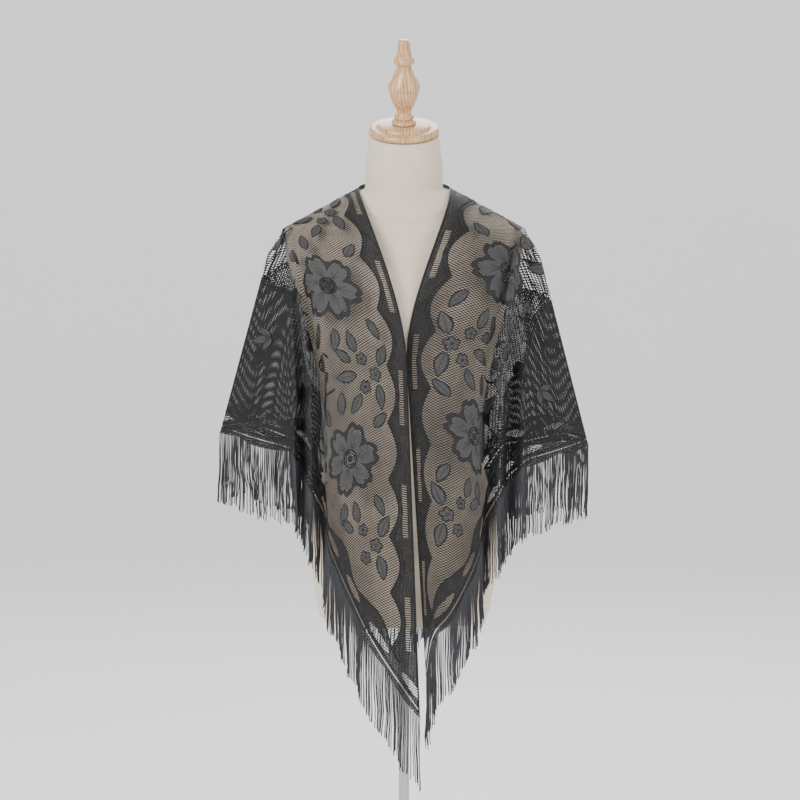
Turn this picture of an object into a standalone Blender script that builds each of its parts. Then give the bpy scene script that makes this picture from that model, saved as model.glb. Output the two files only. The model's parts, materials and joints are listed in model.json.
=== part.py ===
# A triangular lace shawl worn on a limbless dress form that stands on a pole and a round base.
# Metres, +Z up, the form faces -Y, and the origin is the centre of the base's underside.
# "left" and "right" are the viewer's, so the left side has negative x.

import math
from collections import namedtuple

import bpy
import numpy as np

# The flat cut: an isosceles triangle, measured from the middle of its long edge
HALF_LONG_EDGE = 0.94
CUT_HEIGHT = 0.66
CLOTH = 0.0012
SEAM_GAP = 0.0003
STRIP_GAP = 0.0008

# Where the cloth turns over the shoulders: a straight line on each side, in the plane y = 0
NECK_SIDE_X = 0.068
NECK_SIDE_Z = 1.395
SHOULDER_X = 0.182
SHOULDER_Z = 1.333
NECK_BACK_Y = 0.072
NECK_BACK_Z = 1.402
ROLL_POWER = 0.8
ROLL_SAMPLES = 200
FOLD_FULL_DROP = 0.36
LEAST_FALL = 0.05

# Where the shoulder line crosses the flat cut on each side: the shawl sits a little to the left
Seat = namedtuple("Seat", "sign neck_u tip_u tip_v")
SEATS = {
    "left": Seat(-1, 0.080, 0.168, 0.152),
    "right": Seat(1, 0.142, 0.198, 0.106),
}

# One row for each ridge or valley of a front, from its front edge to its side. share: place along the shoulder line.
# fan: angle in the flat cut, in degrees. The column drifts to low_x within drift, then spreads by spread_x a metre.
# It rolls forward to low_y, leaving the shoulder at the given slope, where 1 is level, and then spreads by spread_y
# a metre. fold: its depth inward once it has opened.
Front = namedtuple("Front", "name share fan drift low_x spread_x low_y slope spread_y fold columns")
FRONTS = {
    "left": (
        Front("front edge", 0.00, 0.0, 0.33, 0.008, -0.037, 0.141, 0.97, 0.000, 0.000, 5),
        Front("panel middle", 0.50, 0.0, 0.32, 0.055, 0.000, 0.140, 0.97, 0.000, 0.000, 5),
        Front("panel ridge", 0.84, 4.3, 0.30, 0.111, 0.000, 0.122, 0.97, 0.000, 0.000, 5),
        Front("inner valley", 0.87, 9.5, 0.30, 0.119, 0.000, 0.113, 0.97, 0.000, 0.033, 5),
        Front("pleat ridge", 0.895, 14.6, 0.30, 0.138, 0.000, 0.104, 0.97, 0.000, 0.000, 6),
        Front("outer valley", 0.925, 23.0, 0.28, 0.150, 0.000, 0.060, 0.88, 0.090, 0.040, 6),
        Front("wing ridge", 0.95, 31.8, 0.25, 0.165, 0.000, 0.032, 0.84, 0.130, 0.000, 4),
        Front("wing middle", 0.972, 43.0, 0.12, 0.181, 0.140, 0.014, 0.85, 0.115, 0.000, 4),
        Front("side", 1.00, 54.0, 0.05, 0.193, 0.262, 0.000, 0.97, 0.000, 0.000, 0),
    ),
    "right": (
        Front("front edge", 0.00, 0.0, 0.33, -0.0165, 0.062, 0.126, 0.97, 0.000, 0.000, 5),
        Front("panel middle", 0.50, 0.0, 0.32, 0.056, 0.000, 0.137, 0.97, 0.000, 0.000, 5),
        Front("panel ridge", 0.84, 4.6, 0.30, 0.110, 0.000, 0.122, 0.97, 0.000, 0.000, 5),
        Front("inner valley", 0.87, 10.5, 0.30, 0.120, 0.000, 0.112, 0.97, 0.000, 0.031, 5),
        Front("pleat ridge", 0.895, 16.0, 0.30, 0.141, 0.000, 0.102, 0.97, 0.000, 0.000, 6),
        Front("outer valley", 0.925, 23.5, 0.28, 0.156, 0.000, 0.060, 0.89, 0.085, 0.036, 6),
        Front("wing ridge", 0.95, 32.5, 0.25, 0.1785, 0.000, 0.032, 0.85, 0.120, 0.000, 4),
        Front("wing middle", 0.972, 43.0, 0.12, 0.186, 0.130, 0.014, 0.86, 0.110, 0.000, 4),
        Front("side", 1.00, 54.0, 0.05, 0.193, 0.250, 0.000, 0.97, 0.000, 0.000, 0),
    ),
}

# One row for each ridge or valley of half the back, from its middle to its side.
# station: 0 to 1 along the neck edge, then 1 to 2 along the shoulder line. The other columns are as above.
Back = namedtuple("Back", "name station fan drift low_x spread_x low_y slope spread_y fold columns")
BACKS = (
    Back("back middle", 0.00, 90.0, 0.30, 0.000, 0.000, 0.134, 0.70, 0.000, 0.000, 3),
    Back("first ridge", 0.70, 90.0, 0.30, 0.072, 0.000, 0.136, 0.70, 0.000, 0.000, 2),
    Back("neck side", 1.00, 88.0, 0.30, 0.098, 0.000, 0.133, 0.95, 0.000, 0.010, 2),
    Back("first valley", 1.15, 86.0, 0.30, 0.112, 0.000, 0.128, 0.97, 0.000, 0.022, 4),
    Back("second ridge", 1.60, 80.0, 0.30, 0.152, 0.000, 0.112, 0.97, 0.000, 0.000, 4),
    Back("second valley", 1.82, 71.0, 0.30, 0.176, 0.040, 0.068, 0.92, 0.050, 0.034, 4),
    Back("third ridge", 1.92, 63.0, 0.20, 0.184, 0.170, 0.026, 0.87, 0.100, 0.000, 4),
    Back("side", 2.00, 54.0, 0.05, 0.193, 0.262, 0.000, 0.97, 0.000, 0.000, 0),
)
ROWS = 14
ROW_CROWDING = 1.35

# Fringe: strands on a narrow sewn strip along the hem
STRAND_PITCH = 0.0096
STRAND_WIDTH = 0.0026
STRAND_LENGTH = 0.108
STRAND_TAPER = 0.6
STRIP_HEIGHT = 0.0030
STRIP_DEPTH = 0.0012
CORNER_CLEARANCE = 0.0005
LEAST_SLANT = 0.3

# The form: one row for each level, from its lower edge to its neck. A lean tips the level forward.
Level = namedtuple("Level", "height half_width front back power lean")
TORSO_BELOW = (
    Level(0.740, 0.118, 0.082, 0.084, 2.2, 0.0),
    Level(0.7415, 0.125, 0.090, 0.092, 2.2, 0.0),
    Level(0.790, 0.136, 0.099, 0.107, 2.2, 0.0),
    Level(0.835, 0.142, 0.103, 0.114, 2.2, 0.0),
    Level(0.880, 0.145, 0.104, 0.113, 2.2, 0.0),
    Level(0.925, 0.136, 0.098, 0.098, 2.2, 0.0),
    Level(0.965, 0.122, 0.090, 0.082, 2.2, 0.0),
    Level(1.000, 0.115, 0.085, 0.075, 2.2, 0.0),
    Level(1.050, 0.118, 0.092, 0.080, 2.2, 0.0),
    Level(1.110, 0.128, 0.108, 0.089, 2.2, 0.0),
    Level(1.160, 0.139, 0.120, 0.095, 2.2, 0.0),
    Level(1.200, 0.149, 0.125, 0.099, 2.2, 0.0),
    Level(1.240, 0.160, 0.120, 0.100, 2.0, 0.0),
    Level(1.270, 0.171, 0.110, 0.097, 1.8, 0.0),
    Level(1.295, 0.177, 0.099, 0.091, 1.65, 0.0),
    Level(1.315, 0.179, 0.089, 0.084, 1.55, 0.0),
)
# On the shoulders a level's height follows from its half width, just under the cloth
SHOULDER_WIDTHS = (0.176, 0.160, 0.140, 0.118, 0.097, 0.080)
SHOULDER_FRONTS = (0.082, 0.077, 0.071, 0.065, 0.057, 0.050)
SHOULDER_BACKS = (0.080, 0.077, 0.071, 0.063, 0.051, 0.038)
SHOULDER_POWER = 1.55
REST_GAP = 0.0010
TORSO_ABOVE = (
    Level(1.3950, 0.0590, 0.049, 0.050, 1.9, 0.04),
    Level(1.430, 0.0585, 0.051, 0.060, 2.0, 0.15),
    Level(1.455, 0.0550, 0.049, 0.056, 2.0, 0.24),
    Level(1.4738, 0.0530, 0.048, 0.055, 2.0, 0.315),
)
TORSO_SIDES = 32

# Turned wooden cap and knob: height and radius along the axis, and the cap's forward tilt
CAP_TILT = math.radians(17.5)
CAP_CENTRE_Y = 0.0035
CAP_UNDERSIDE_Z = 1.4753
CAP_PROFILE = ((0.0, 0.0505), (0.0020, 0.0527), (0.0075, 0.0527), (0.0105, 0.0500), (0.0115, 0.0405), (0.0150, 0.0385))
FINIAL_PROFILE = (
    (0.0000, 0.0165),
    (0.0021, 0.0182),
    (0.0053, 0.0182),
    (0.0076, 0.0128),
    (0.0090, 0.0145),
    (0.0132, 0.0145),
    (0.0169, 0.0105),
    (0.0222, 0.0118),
    (0.0360, 0.0185),
    (0.0487, 0.0222),
    (0.0545, 0.0226),
    (0.0555, 0.0238),
    (0.0582, 0.0240),
    (0.0645, 0.0218),
    (0.0772, 0.0150),
    (0.0910, 0.0105),
    (0.0926, 0.0105),
    (0.0963, 0.0155),
    (0.1016, 0.0155),
    (0.1058, 0.0110),
    (0.1259, 0.0092),
    (0.1307, 0.0068),
)
CAP_SIDES = 28
FINIAL_SIDES = 18
NEST = 0.0003
SHARP_ANGLE = math.radians(40)

# Pole and base
POLE_RADIUS = 0.0078
POLE_SIDES = 16
BASE_RADIUS = 0.155
BASE_THICKNESS = 0.006
BASE_EDGE = 0.002
BASE_SIDES = 40


# Scene, materials and mesh objects
def clear_scene():
    for old in list(bpy.data.objects):
        bpy.data.objects.remove(old, do_unlink=True)


def make_material(name, colour, roughness, metallic=0.0):
    material = bpy.data.materials.new(name)
    material.use_nodes = True
    shader = material.node_tree.nodes["Principled BSDF"]
    shader.inputs["Base Color"].default_value = (*colour, 1.0)
    shader.inputs["Roughness"].default_value = roughness
    shader.inputs["Metallic"].default_value = metallic
    material.diffuse_color = (*colour, 1.0)
    return material


def make_object(name, points, faces, material):
    mesh = bpy.data.meshes.new(name)
    mesh.from_pydata([tuple(point) for point in points], [], faces)
    mesh.validate()
    mesh.materials.append(material)
    mesh.shade_smooth()
    mesh.set_sharp_from_angle(angle=SHARP_ANGLE)
    obj = bpy.data.objects.new(name, mesh)
    bpy.context.scene.collection.objects.link(obj)
    return obj


def ring_faces(rings, sides):
    """Faces of a stack of rings that run from the lowest to the highest, each counter-clockwise from above."""
    faces = [tuple(reversed(range(sides)))]
    for ring in range(rings - 1):
        low, high = ring * sides, (ring + 1) * sides
        for side in range(sides):
            after = (side + 1) % sides
            faces.append((low + side, low + after, high + after, high + side))
    top = (rings - 1) * sides
    faces.append(tuple(range(top, top + sides)))
    return faces


def make_turned(name, profile, sides, material):
    """A turned solid from (height, radius) pairs, standing on the plane z = 0."""
    points = []
    for height, radius in profile:
        for side in range(sides):
            angle = 2 * math.pi * side / sides
            points.append((radius * math.cos(angle), radius * math.sin(angle), height))
    return make_object(name, points, ring_faces(len(profile), sides), material)


# The form
def shoulder_height(x):
    """Height of the line where the cloth turns over the shoulder."""
    share = (x - NECK_SIDE_X) / (SHOULDER_X - NECK_SIDE_X)
    return NECK_SIDE_Z + (SHOULDER_Z - NECK_SIDE_Z) * share


def torso_levels():
    slope = math.atan2(NECK_SIDE_Z - SHOULDER_Z, SHOULDER_X - NECK_SIDE_X)
    below_cloth = (CLOTH / 2 + REST_GAP) / math.cos(slope)
    shoulders = [
        Level(shoulder_height(width) - below_cloth, width, front, back, SHOULDER_POWER, 0.0)
        for width, front, back in zip(SHOULDER_WIDTHS, SHOULDER_FRONTS, SHOULDER_BACKS)
    ]
    return [*TORSO_BELOW, *shoulders, *TORSO_ABOVE]


def level_point(level, angle):
    """A point of a level's outline, a superellipse that is deeper in front or behind."""
    across, along = math.cos(angle), math.sin(angle)
    reach = (abs(across) ** level.power + abs(along) ** level.power) ** (-1 / level.power)
    depth = level.back if along > 0 else level.front
    x = level.half_width * reach * across
    y = depth * reach * along
    return (x, y, level.height + level.lean * y)


def make_torso(material):
    levels = torso_levels()
    points = []
    for level in levels:
        for side in range(TORSO_SIDES):
            points.append(level_point(level, 2 * math.pi * side / TORSO_SIDES))
    return make_object("form_torso", points, ring_faces(len(levels), TORSO_SIDES), material)


def make_form():
    linen = make_material("linen_cover", (0.72, 0.64, 0.54), 0.9)
    wood = make_material("turned_wood", (0.62, 0.43, 0.25), 0.35)
    steel = make_material("satin_steel", (0.42, 0.41, 0.40), 0.35, 0.9)
    make_torso(linen)
    cap = make_turned("neck_cap", CAP_PROFILE, CAP_SIDES, wood)
    cap.location = (0.0, CAP_CENTRE_Y, CAP_UNDERSIDE_Z)
    cap.rotation_euler = (CAP_TILT, 0.0, 0.0)
    cap_top = CAP_PROFILE[-1][0] + NEST
    finial = make_turned("finial", FINIAL_PROFILE, FINIAL_SIDES, wood)
    finial.location = (
        0.0,
        CAP_CENTRE_Y - cap_top * math.sin(CAP_TILT),
        CAP_UNDERSIDE_Z + cap_top * math.cos(CAP_TILT),
    )
    finial.rotation_euler = (CAP_TILT, 0.0, 0.0)
    pole_length = TORSO_BELOW[0].height - BASE_THICKNESS - 2 * NEST
    pole = make_turned("pole", ((0.0, POLE_RADIUS), (pole_length, POLE_RADIUS)), POLE_SIDES, steel)
    pole.location = (0.0, 0.0, BASE_THICKNESS + NEST)
    base_profile = (
        (0.0, BASE_RADIUS),
        (BASE_THICKNESS - BASE_EDGE, BASE_RADIUS),
        (BASE_THICKNESS, BASE_RADIUS - BASE_EDGE),
    )
    make_turned("base", base_profile, BASE_SIDES, steel)


# The drape
def roll_curve():
    """How far a column has rolled forward, as a share, at each share of its roll length."""
    share = np.linspace(0.0, 1.0, ROLL_SAMPLES)
    forward = np.cos(0.5 * np.pi * share**ROLL_POWER)
    run = np.concatenate([[0.0], np.cumsum((forward[1:] + forward[:-1]) / 2)])
    return share, run / run[-1], run[-1] / (ROLL_SAMPLES - 1)


ROLL_SHARE, ROLL_RUN, ROLL_REACH = roll_curve()


def eased(share):
    """A share from 0 to 1 that starts and ends gently."""
    share = np.clip(share, 0.0, 1.0)
    return share**2 * (3 - 2 * share)


def smooth_keys(places, values, wanted):
    """A curve through the keys that never swings past them."""
    places, values = np.asarray(places, float), np.asarray(values, float)
    widths = np.diff(places)
    slopes = np.diff(values) / widths
    tangents = np.zeros(len(places))
    tangents[0], tangents[-1] = slopes[0], slopes[-1]
    for key in range(1, len(places) - 1):
        before, after = slopes[key - 1], slopes[key]
        if before * after > 0:
            first = 2 * widths[key] + widths[key - 1]
            second = widths[key] + 2 * widths[key - 1]
            tangents[key] = (first + second) / (first / before + second / after)
    span = np.clip(np.searchsorted(places, wanted, side="right") - 1, 0, len(widths) - 1)
    share = (wanted - places[span]) / widths[span]
    return (
        values[span] * (1 + 2 * share) * (1 - share) ** 2
        + tangents[span] * widths[span] * share * (1 - share) ** 2
        + values[span + 1] * share**2 * (3 - 2 * share)
        - tangents[span + 1] * widths[span] * share**2 * (1 - share)
    )


def columns_of(rows):
    """The rows' values at every column, with each row's own count of columns before the next."""
    places = np.concatenate([[0], np.cumsum([row.columns for row in rows[:-1]])])
    wanted = np.arange(places[-1] + 1)
    fields = [field for field in rows[0]._fields if field not in ("name", "columns")]
    return {field: smooth_keys(places, [getattr(row, field) for row in rows], wanted) for field in fields}


def hem_distance(u, v, fan):
    """Length along the flat cloth from a point to the hem, in the fan's direction."""
    left_over = 1 - u / HALF_LONG_EDGE - v / CUT_HEIGHT
    return left_over / (np.cos(fan) / HALF_LONG_EDGE + np.sin(fan) / CUT_HEIGHT)


def fall_path(start, columns, index, drops, facing):
    """Points of one column at the given drops. Its length is true: what it moves sideways it doesn't fall."""
    fine = np.linspace(0.0, drops[-1], ROLL_SAMPLES)
    drifted = eased(fine / columns["drift"][index])
    x = start[0] + (columns["low_x"][index] - start[0]) * drifted + columns["spread_x"][index] * fine
    travel = columns["low_y"][index] - abs(start[1])
    roll_length = max(travel, SEAM_GAP) / (ROLL_REACH * columns["slope"][index])
    rolled = np.interp(fine / roll_length, ROLL_SHARE, ROLL_RUN)
    fold = columns["fold"][index] * eased(fine / FOLD_FULL_DROP)
    y = facing * (abs(start[1]) + travel * rolled + columns["spread_y"][index] * fine - fold)
    step = np.diff(fine)
    level = np.diff(x) ** 2 + np.diff(y) ** 2
    fall = np.sqrt(np.maximum(step**2 - level, (LEAST_FALL * step) ** 2))
    z = start[2] - np.concatenate([[0.0], np.cumsum(fall)])
    return np.stack([np.interp(drops, fine, axis) for axis in (x, y, z)], axis=1)


def row_drops(length):
    return length * np.linspace(0.0, 1.0, ROWS) ** ROW_CROWDING


def front_grid(side):
    """Points of a front, as [column, row], with x outward."""
    seat, columns = SEATS[side], columns_of(FRONTS[side])
    grid = []
    for index, share in enumerate(columns["share"]):
        fan = math.radians(columns["fan"][index])
        u = seat.neck_u + (seat.tip_u - seat.neck_u) * share
        v = seat.tip_v * share
        x = NECK_SIDE_X + (SHOULDER_X - NECK_SIDE_X) * share
        drops = row_drops(hem_distance(u, v, fan))
        grid.append(fall_path((x, 0.0, shoulder_height(x)), columns, index, drops, -1))
    return np.array(grid)


def back_grid(side):
    """The same for half of the back, from its middle to its side, where it spreads as the front does."""
    side_row = BACKS[-1]._replace(spread_x=FRONTS[side][-1].spread_x)
    seat, columns = SEATS[side], columns_of((*BACKS[:-1], side_row))
    grid = []
    for index, station in enumerate(columns["station"]):
        fan = math.radians(columns["fan"][index])
        if station < 1:
            turn = 0.5 * math.pi * station
            u, v = seat.neck_u * station, 0.0
            start = (
                NECK_SIDE_X * math.sin(turn),
                NECK_BACK_Y * math.cos(turn),
                NECK_SIDE_Z + (NECK_BACK_Z - NECK_SIDE_Z) * math.cos(turn),
            )
        else:
            share = station - 1
            u = seat.neck_u + (seat.tip_u - seat.neck_u) * share
            v = seat.tip_v * share
            x = NECK_SIDE_X + (SHOULDER_X - NECK_SIDE_X) * share
            start = (x, 0.0, shoulder_height(x))
        drops = row_drops(hem_distance(u, v, fan))
        grid.append(fall_path(start, columns, index, drops, 1))
    return np.array(grid)


def unit(vectors):
    return vectors / np.linalg.norm(vectors, axis=-1, keepdims=True)


def seam_normals(line):
    """Normals of a seam in its own plane y = 0, so that the two walls meet face to face along it."""
    along = np.gradient(line, axis=0)
    return unit(np.stack([-along[:, 2], np.zeros(len(line)), along[:, 0]], axis=1))


def grid_normals(grid, facing):
    """Unit normals of a grid of points. Along the shoulder and the side they are the seam's."""
    normals = unit(facing * np.cross(np.gradient(grid, axis=0), np.gradient(grid, axis=1)))
    on_shoulder = np.abs(grid[:, 0, 1]) < SEAM_GAP
    normals[on_shoulder, 0] = seam_normals(grid[on_shoulder, 0])
    normals[-1, 1:] = seam_normals(grid[-1])[1:]
    return normals


def seam_parted(grid, facing):
    """The grid with its shoulder and side edges moved off the seam by half the gap."""
    on_seam = np.abs(grid[:, :, 1]) < SEAM_GAP
    return grid + on_seam[:, :, None] * np.array((0.0, facing * SEAM_GAP / 2, 0.0))


# Walls and fringe
def make_wall(name, grid, normals, material):
    """A closed wall around a grid of points, half its thickness to each side. Each cell's diagonal runs down
    towards the middle, so that the corner of the shoulder keeps its thickness."""
    columns, rows = grid.shape[:2]
    outer = (grid + normals * CLOTH / 2).reshape(-1, 3)
    inner = (grid - normals * CLOTH / 2).reshape(-1, 3)
    count = columns * rows
    faces = []
    for column in range(columns - 1):
        near_is_inner = abs(grid[column, 0, 0]) < abs(grid[column + 1, 0, 0])
        for row in range(rows - 1):
            near = column * rows + row
            far = near + rows
            if near_is_inner:
                halves = ((near, near + 1, far), (near + 1, far + 1, far))
            else:
                halves = ((near, near + 1, far + 1), (near, far + 1, far))
            faces.extend(halves)
            faces.extend(tuple(count + corner for corner in reversed(half)) for half in halves)
    rim = [column * rows for column in range(columns)]
    rim += [(columns - 1) * rows + row for row in range(1, rows)]
    rim += [column * rows + rows - 1 for column in range(columns - 2, -1, -1)]
    rim += list(range(rows - 2, 0, -1))
    for here, after in zip(rim, rim[1:] + rim[:1]):
        faces.append((here, after, count + after, count + here))
    return make_object(name, np.concatenate([outer, inner]), faces, material)


def hem_stations(hem):
    """Places along the hem, as column numbers, and which stretches between them carry a strand."""
    steps = np.linalg.norm(np.diff(hem, axis=0), axis=1)
    corners = np.concatenate([[0.0], np.cumsum(steps)])
    strands = int((corners[-1] - STRAND_WIDTH) // STRAND_PITCH)
    centres = corners[-1] / 2 + (np.arange(strands) - (strands - 1) / 2) * STRAND_PITCH
    nearest = corners[np.abs(centres[:, None] - corners[None, :]).argmin(axis=1)]
    clear = STRAND_WIDTH / 2 + CORNER_CLEARANCE
    beside = nearest + np.where(centres < nearest, -clear, clear)
    centres = np.where(np.abs(centres - nearest) < clear, beside, centres)
    starts, ends = centres - STRAND_WIDTH / 2, centres + STRAND_WIDTH / 2
    whole = ~((corners > starts[:, None]) & (corners < ends[:, None])).any(axis=1)
    starts, ends = starts[whole], ends[whole]
    inner_corners = corners[(corners > starts[0]) & (corners < ends[-1])]
    places = np.sort(np.concatenate([starts, ends, inner_corners]))
    middles = (places[1:] + places[:-1]) / 2
    carries = ((middles[:, None] > starts) & (middles[:, None] < ends)).any(axis=1)
    return np.interp(places, corners, np.arange(len(corners))), carries


def along_columns(values, stations):
    """Rows of values, given at the columns, read at places between them."""
    columns = np.arange(len(values))
    return np.stack([np.interp(stations, columns, axis) for axis in values.T], axis=1)


def hem_slant(hem, down):
    """How square the cloth's fall is to the hem at each station: the lesser of the stretches on its two sides."""
    stretches = unit(np.diff(hem, axis=0))
    slant = np.ones(len(hem))
    slant[1:] = np.linalg.norm(np.cross(down[1:], stretches), axis=1)
    slant[:-1] = np.minimum(slant[:-1], np.linalg.norm(np.cross(down[:-1], stretches), axis=1))
    return np.maximum(slant, LEAST_SLANT)


def make_fringe(name, grid, normals, material):
    """A narrow strip just below the hem, with a strand hanging from each stretch of its lower face that carries one."""
    stations, carries = hem_stations(grid[:, -1])
    hem = along_columns(grid[:, -1], stations)
    down = unit(hem - along_columns(grid[:, -2], stations))
    down = down / hem_slant(hem, down)[:, None]
    half = unit(along_columns(normals[:, -1], stations)) * STRIP_DEPTH / 2
    top = hem + down * STRIP_GAP
    low = top + down * STRIP_HEIGHT
    points = [corner for group in zip(top + half, top - half, low + half, low - half) for corner in group]
    faces = [(0, 1, 3, 2)]
    last = 4 * (len(stations) - 1)
    for station, carries_strand in enumerate(carries):
        here, after = 4 * station, 4 * station + 4
        faces.append((here, after, after + 1, here + 1))
        faces.append((here, here + 2, after + 2, after))
        faces.append((here + 1, after + 1, after + 3, here + 3))
        root = [here + 2, here + 3, after + 3, after + 2]
        if not carries_strand:
            faces.append(tuple(root))
            continue
        middle = np.mean([points[corner] for corner in root], axis=0)
        tip = len(points)
        for corner in root:
            spread = (points[corner] - middle) * STRAND_TAPER
            points.append(middle + spread * (1, 1, 0) - np.array((0.0, 0.0, STRAND_LENGTH)))
        for corner in range(4):
            other = (corner + 1) % 4
            faces.append((root[corner], root[other], tip + other, tip + corner))
        faces.append(tuple(range(tip, tip + 4)))
    faces.append((last, last + 2, last + 3, last + 1))
    return make_object(name, points, faces, material)


def mirrored(grid, sign):
    return grid * (sign, 1.0, 1.0)


def make_shawl():
    lace = make_material("black_lace", (0.02, 0.02, 0.022), 0.75)
    backs = []
    for side, seat in SEATS.items():
        grid = front_grid(side)
        order = slice(None, None, seat.sign)
        fall = mirrored(seam_parted(grid, -1), seat.sign)[order]
        normals = mirrored(grid_normals(grid, -1), seat.sign)[order]
        make_wall(f"front_fall_{side}", fall, normals, lace)
        make_fringe(f"fringe_front_{side}", fall, normals, lace)
        grid = back_grid(side)
        normals = grid_normals(grid, 1)
        normals[0] = unit(normals[0] * (0.0, 1.0, 1.0))
        order = slice(None, None, -seat.sign)
        fall = mirrored(seam_parted(grid, 1), seat.sign)[order]
        normals = mirrored(normals, seat.sign)[order]
        backs.append((fall, normals))
        make_fringe(f"fringe_back_{side}", fall, normals, lace)
    (left_fall, left_normals), (right_fall, right_normals) = backs
    whole = np.concatenate([right_fall, left_fall[1:]])
    whole_normals = np.concatenate([right_normals, left_normals[1:]])
    make_wall("back_fall", whole, whole_normals, lace)


clear_scene()
make_form()
make_shawl()
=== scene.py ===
# %% [markdown]
# A black knitted lace shawl hangs over a dress form. The lesson dresses the solids: the cloth becomes one
# sheet cut as a flat triangle, and everything on it is drawn on that flat cut and then carried onto the worn cloth.
# The first cell loads the frame that fixes every size and place.

# %% Load the frame
import json
import math
from collections import namedtuple

import bpy
import numpy as np
from mathutils import Matrix, Vector
from mathutils.bvhtree import BVHTree

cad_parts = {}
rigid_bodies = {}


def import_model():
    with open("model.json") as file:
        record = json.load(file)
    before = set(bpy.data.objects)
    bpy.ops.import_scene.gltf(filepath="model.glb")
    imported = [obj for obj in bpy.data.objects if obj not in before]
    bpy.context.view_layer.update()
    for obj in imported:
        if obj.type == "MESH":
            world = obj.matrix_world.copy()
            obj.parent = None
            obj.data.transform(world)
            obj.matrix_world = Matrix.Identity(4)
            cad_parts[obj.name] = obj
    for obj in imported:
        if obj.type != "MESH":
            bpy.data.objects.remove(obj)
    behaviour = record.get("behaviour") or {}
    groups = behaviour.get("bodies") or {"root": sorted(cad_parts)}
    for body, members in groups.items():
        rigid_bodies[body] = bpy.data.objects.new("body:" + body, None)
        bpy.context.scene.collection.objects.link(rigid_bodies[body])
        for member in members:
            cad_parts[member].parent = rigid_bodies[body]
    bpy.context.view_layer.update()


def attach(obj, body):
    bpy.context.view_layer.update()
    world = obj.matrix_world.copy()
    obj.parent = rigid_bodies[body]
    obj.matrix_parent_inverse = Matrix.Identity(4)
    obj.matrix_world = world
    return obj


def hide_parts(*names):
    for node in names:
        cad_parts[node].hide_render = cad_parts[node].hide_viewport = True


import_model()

# %% [markdown]
# The camera comes first, because it says how large a stitch is in the picture. It is nearly level, a little above
# the shoulders, and far away, so that the form keeps straight sides.

# %% Camera
CAMERA_PLACE = Vector((-0.006, -5.0, 1.60))
CAMERA_TARGET = Vector((-0.006, 0.0, 1.0745))
camera_data = bpy.data.cameras.new("studio_camera")
camera_data.lens = 150.0
camera_data.sensor_width = 36.0
camera = bpy.data.objects.new("studio_camera", camera_data)
camera.location = CAMERA_PLACE
camera.rotation_euler = (CAMERA_TARGET - CAMERA_PLACE).to_track_quat("-Z", "Y").to_euler()
bpy.context.scene.collection.objects.link(camera)
bpy.context.scene.camera = camera
print("camera distance:", round((CAMERA_TARGET - CAMERA_PLACE).length, 3))

# %% [markdown]
# The floor is one pale sweep that runs up behind the form, as in a photo studio, so that no edge of it shows. It
# isn't part of the object.

# %% Floor
SWEEP_PROFILE = [(-9.0, 0.0), (6.0, 0.0)]
SWEEP_PROFILE += [(6.0 + 2.5 * math.sin(turn), 2.5 - 2.5 * math.cos(turn)) for turn in np.linspace(0.1, 1.57, 12)]
SWEEP_PROFILE += [(8.5, 9.0)]
SWEEP_HALF_WIDTH = 9.0


def new_object(name, points, faces, smooth=True):
    mesh = bpy.data.meshes.new(name)
    mesh.from_pydata([tuple(point) for point in points], [], faces)
    mesh.polygons.foreach_set("use_smooth", [smooth] * len(mesh.polygons))
    mesh.update()
    obj = bpy.data.objects.new(name, mesh)
    bpy.context.scene.collection.objects.link(obj)
    return obj


sweep_points = [(side * SWEEP_HALF_WIDTH, y, z) for y, z in SWEEP_PROFILE for side in (-1, 1)]
sweep_faces = [(2 * k, 2 * k + 1, 2 * k + 3, 2 * k + 2) for k in range(len(SWEEP_PROFILE) - 1)]
floor = new_object("studio_floor", sweep_points, sweep_faces)
print("floor faces:", len(sweep_faces))

# %% [markdown]
# Shader maths reads best as plain sums. This small class wraps one number of a node tree, and each operator on it
# adds a Math node. Any other node comes from one helper that sets its options first and its sockets second.

# %% Shader arithmetic
def feed(tree, item, socket):
    if isinstance(item, Number):
        tree.links.new(item.socket, socket)
    elif isinstance(item, bpy.types.NodeSocket):
        tree.links.new(item, socket)
    else:
        socket.default_value = item


class Number:
    """One number of a shader tree."""

    def __init__(self, tree, socket):
        self.tree = tree
        self.socket = socket

    def math(self, operation, *others):
        return number(self.tree, operation, self, *others)

    def __add__(self, other):
        return self.math("ADD", other)

    def __sub__(self, other):
        return self.math("SUBTRACT", other)

    def __rsub__(self, other):
        return number(self.tree, "SUBTRACT", other, self)

    def __mul__(self, other):
        return self.math("MULTIPLY", other)

    def __truediv__(self, other):
        return self.math("DIVIDE", other)

    def __abs__(self):
        return self.math("ABSOLUTE")

    def __gt__(self, other):
        return self.math("GREATER_THAN", other)

    def __lt__(self, other):
        return self.math("LESS_THAN", other)

    __radd__ = __add__
    __rmul__ = __mul__

    def sine(self):
        return self.math("SINE")

    def cosine(self):
        return self.math("COSINE")

    def part(self, pitch):
        """Where a number lies in its repeat, from -0.5 to 0.5."""
        return (self / pitch).math("FRACT") - 0.5

    def either(self, other):
        return self.math("MAXIMUM", other)


def number(tree, operation, *values):
    node = tree.nodes.new("ShaderNodeMath")
    node.operation = operation
    for slot, value in enumerate(values):
        feed(tree, value, node.inputs[slot])
    return Number(tree, node.outputs[0])


def add_node(tree, kind, settings=None, stops=None, **values):
    """A node of any kind: its settings first, then a ramp's stops, then the values or links of its sockets."""
    node = tree.nodes.new("ShaderNode" + kind)
    for name, value in (settings or {}).items():
        setattr(node, name, value)
    if stops:
        ramp = node.color_ramp
        while len(ramp.elements) < len(stops):
            ramp.elements.new(1.0)
        for element, (place, colour) in zip(ramp.elements, stops):
            element.position = place
            element.color = (*colour, 1.0)
    for name, value in values.items():
        feed(tree, value, node.inputs[name.replace("_", " ")])
    return node


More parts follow.
